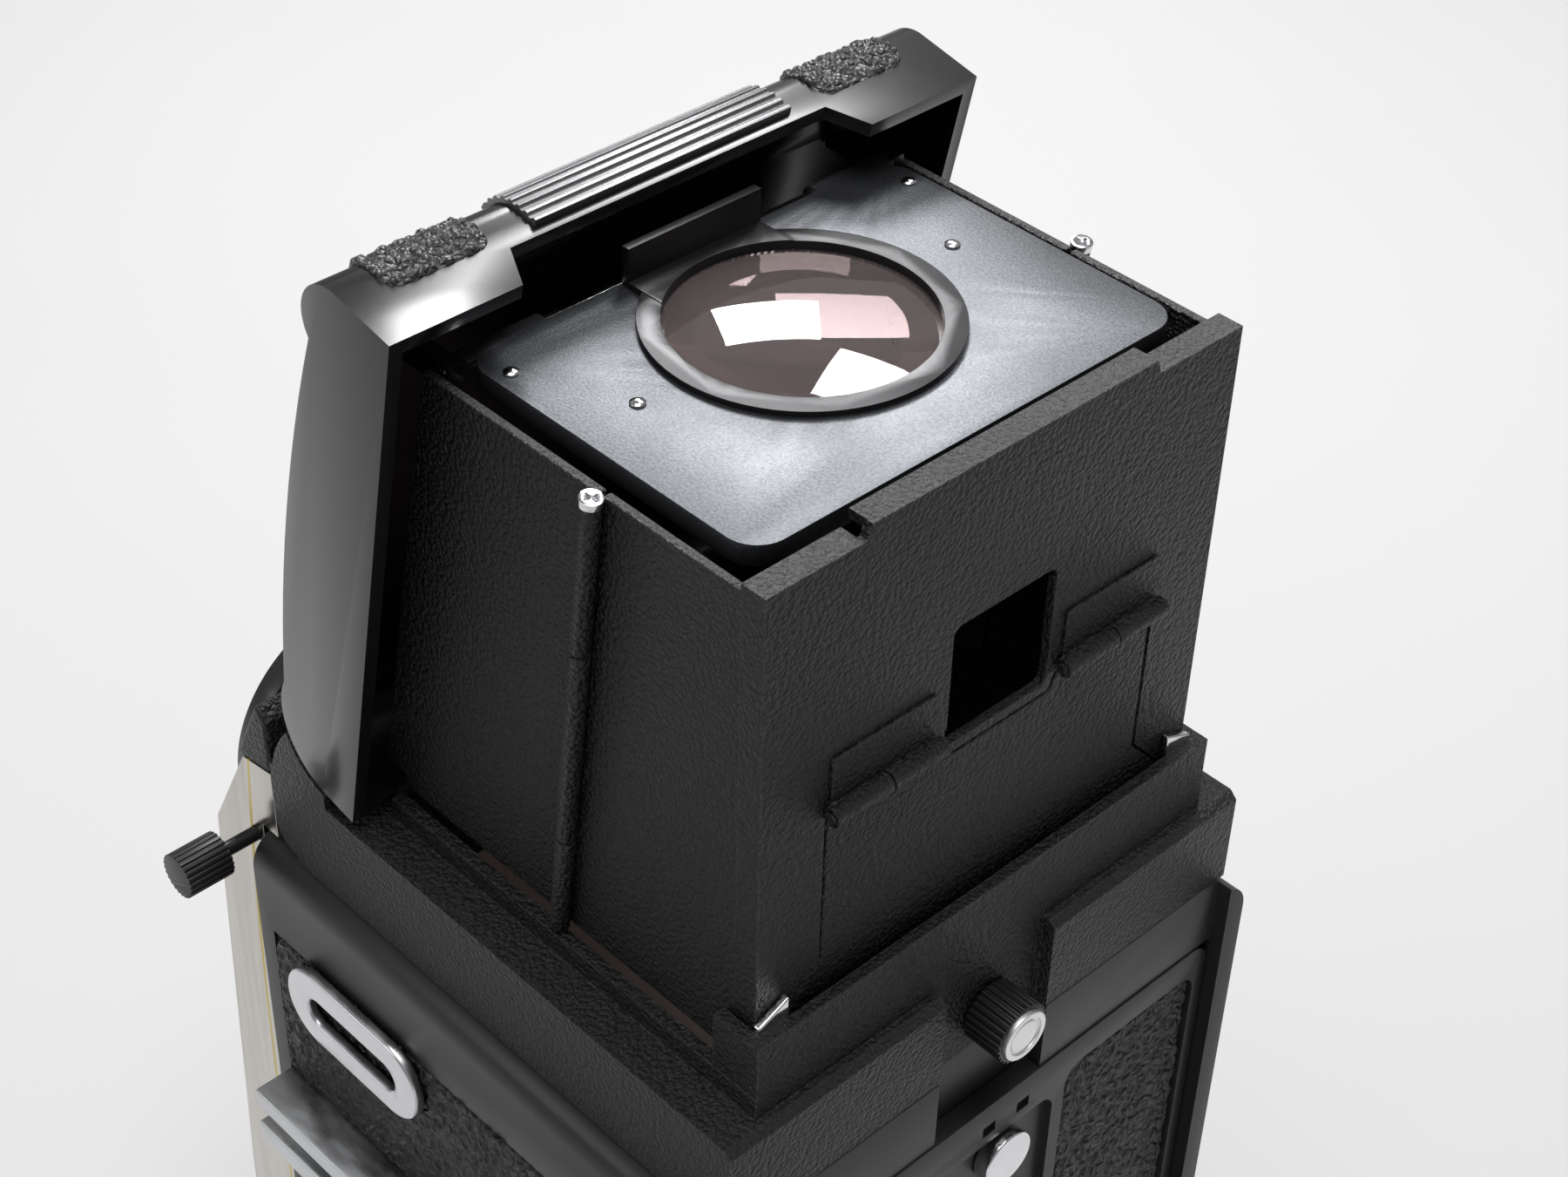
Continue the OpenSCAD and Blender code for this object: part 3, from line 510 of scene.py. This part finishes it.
def over_top(x, s, h):
    """A place on the lid's top edge: s runs forwards over the flat top, then down round its front corner."""
    if s <= TOP_FLAT:
        return lid_point(x, -s, LID_H + h)
    angle, reach = (s - TOP_FLAT) / TOP_RADIUS, TOP_RADIUS + h
    return lid_point(x, -TOP_FLAT - reach * math.sin(angle), LID_H - TOP_RADIUS + reach * math.cos(angle))


for label, x0, x1 in (("left", 23.7, 37.4), ("right", -37.4, -23.7)):
    pad = hide_panel("grip_hide_" + label, round_box(x0, 6.4, x1, 15.6, 2.2), (x0, 6.4, x1, 15.6),
                     over_top, 0.8, PAD_PEBBLE, PAD_CREASE, PAD_STEP, "camera", "lid_grip_pads")
    # the pads take the paler hide with painted light
    pad.data.materials[0] = pad_hide_painted_light


def lid_bow(x, b, h):
    """A place on the lid's bowed front."""
    across = math.sqrt((BOW_RADIUS + h) ** 2 - (b - BOW_HEIGHT) ** 2)
    return lid_point(x, BOW_RADIUS - BOW_DEPTH - across, b)


hide_panel("lid_front_hide", round_box(-36, 14, 36, 64, 3), (-36, 14, 36, 64), lid_bow, 0.7, PEBBLE, 0.35,
           STEP, "camera", "lid_front_leather")


def bellows_piece():
    """A pleated square sleeve between the casting and the standard."""
    low, high = (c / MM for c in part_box("bellows"))
    points, faces = [], []
    rows = FOLDS * 4 + 1
    cz, hx, hz = (low.z + high.z) / 2, (high.x - low.x) / 2, (high.z - low.z) / 2
    for i in range(rows):
        y = high.y + (low.y - high.y) * i / (rows - 1)
        inset = 1.2 + 2.2 * (0.5 - 0.5 * math.cos(i * math.pi / 2))
        for k in range(RING):
            angle = 2 * math.pi * (k + 0.5) / RING
            c, s = math.cos(angle), math.sin(angle)
            reach = 1.0 / max(abs(c), abs(s), (abs(c) + abs(s)) / 1.9)
            points.append((c * reach * (hx - inset) * MM, y * MM, (cz + s * reach * (hz - inset)) * MM))
    for i in range(rows - 1):
        for k in range(RING):
            a, b = i * RING + k, i * RING + (k + 1) % RING
            faces.append((a, b, b + RING, a + RING))
    obj = mesh_piece("bellows_pleats", points, faces, cloth, None, "bellows_cloth", "bellows")
    solid = obj.modifiers.new("cloth", "SOLIDIFY")
    solid.thickness = 0.3 * MM
    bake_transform(obj)


bellows_piece()


# ---------- studio ----------

def studio():
    """A pale floor, an even sky and four softboxes."""
    mesh = bpy.data.meshes.new("floor")
    f = FLOOR_HALF
    mesh.from_pydata([(-f, -f, 0), (f, -f, 0), (f, f, 0), (-f, f, 0)], [], [(0, 1, 2, 3)])
    floor = bpy.data.objects.new("floor", mesh)
    bpy.context.scene.collection.objects.link(floor)
    g = Graph("floor_paper")
    mesh.materials.append(g.finish(g.mix(g.noise(6.0), (0.55, 0.55, 0.552), (0.57, 0.57, 0.572)), 0.9))
    world = bpy.data.worlds.new("studio")
    world.use_nodes = True
    sky = world.node_tree.nodes["Background"].inputs
    sky["Color"].default_value = (0.95, 0.95, 0.96, 1)
    sky["Strength"].default_value = SKY_STRENGTH
    bpy.context.scene.world = world
    for name, place, aim, size, power in SOFTBOXES:
        lamp = bpy.data.lights.new(name, "AREA")
        lamp.size = size
        lamp.energy = power
        light = bpy.data.objects.new(name, lamp)
        light.location = place
        light.rotation_euler = (Vector(aim) - Vector(place)).to_track_quat("-Z", "Y").to_euler()
        bpy.context.scene.collection.objects.link(light)


def view_camera():
    """The camera stands behind the object's left shoulder and looks down on the open hood."""
    azimuth, height, roll = (math.radians(a) for a in (VIEW_AZIMUTH, VIEW_ELEVATION, VIEW_ROLL))
    flat = math.cos(height)
    back = Vector((math.sin(azimuth) * flat, -math.cos(azimuth) * flat, math.sin(height)))
    right = (-back).cross(Vector((0, 0, 1))).normalized()
    up = right.cross(-back)
    turned = right * math.cos(roll) + up * math.sin(roll)
    raised = -right * math.sin(roll) + up * math.cos(roll)
    data = bpy.data.cameras.new("view")
    data.lens = VIEW_LENS
    data.sensor_width = VIEW_SENSOR
    data.clip_start = 0.01
    camera = bpy.data.objects.new("view", data)
    rotation = Matrix((turned, raised, back)).transposed().to_4x4()
    camera.matrix_world = Matrix.Translation(VIEW_PLACE) @ rotation
    bpy.context.scene.collection.objects.link(camera)
    bpy.context.scene.camera = camera


studio()
view_camera()
bpy.context.scene.view_settings.view_transform = "Standard"
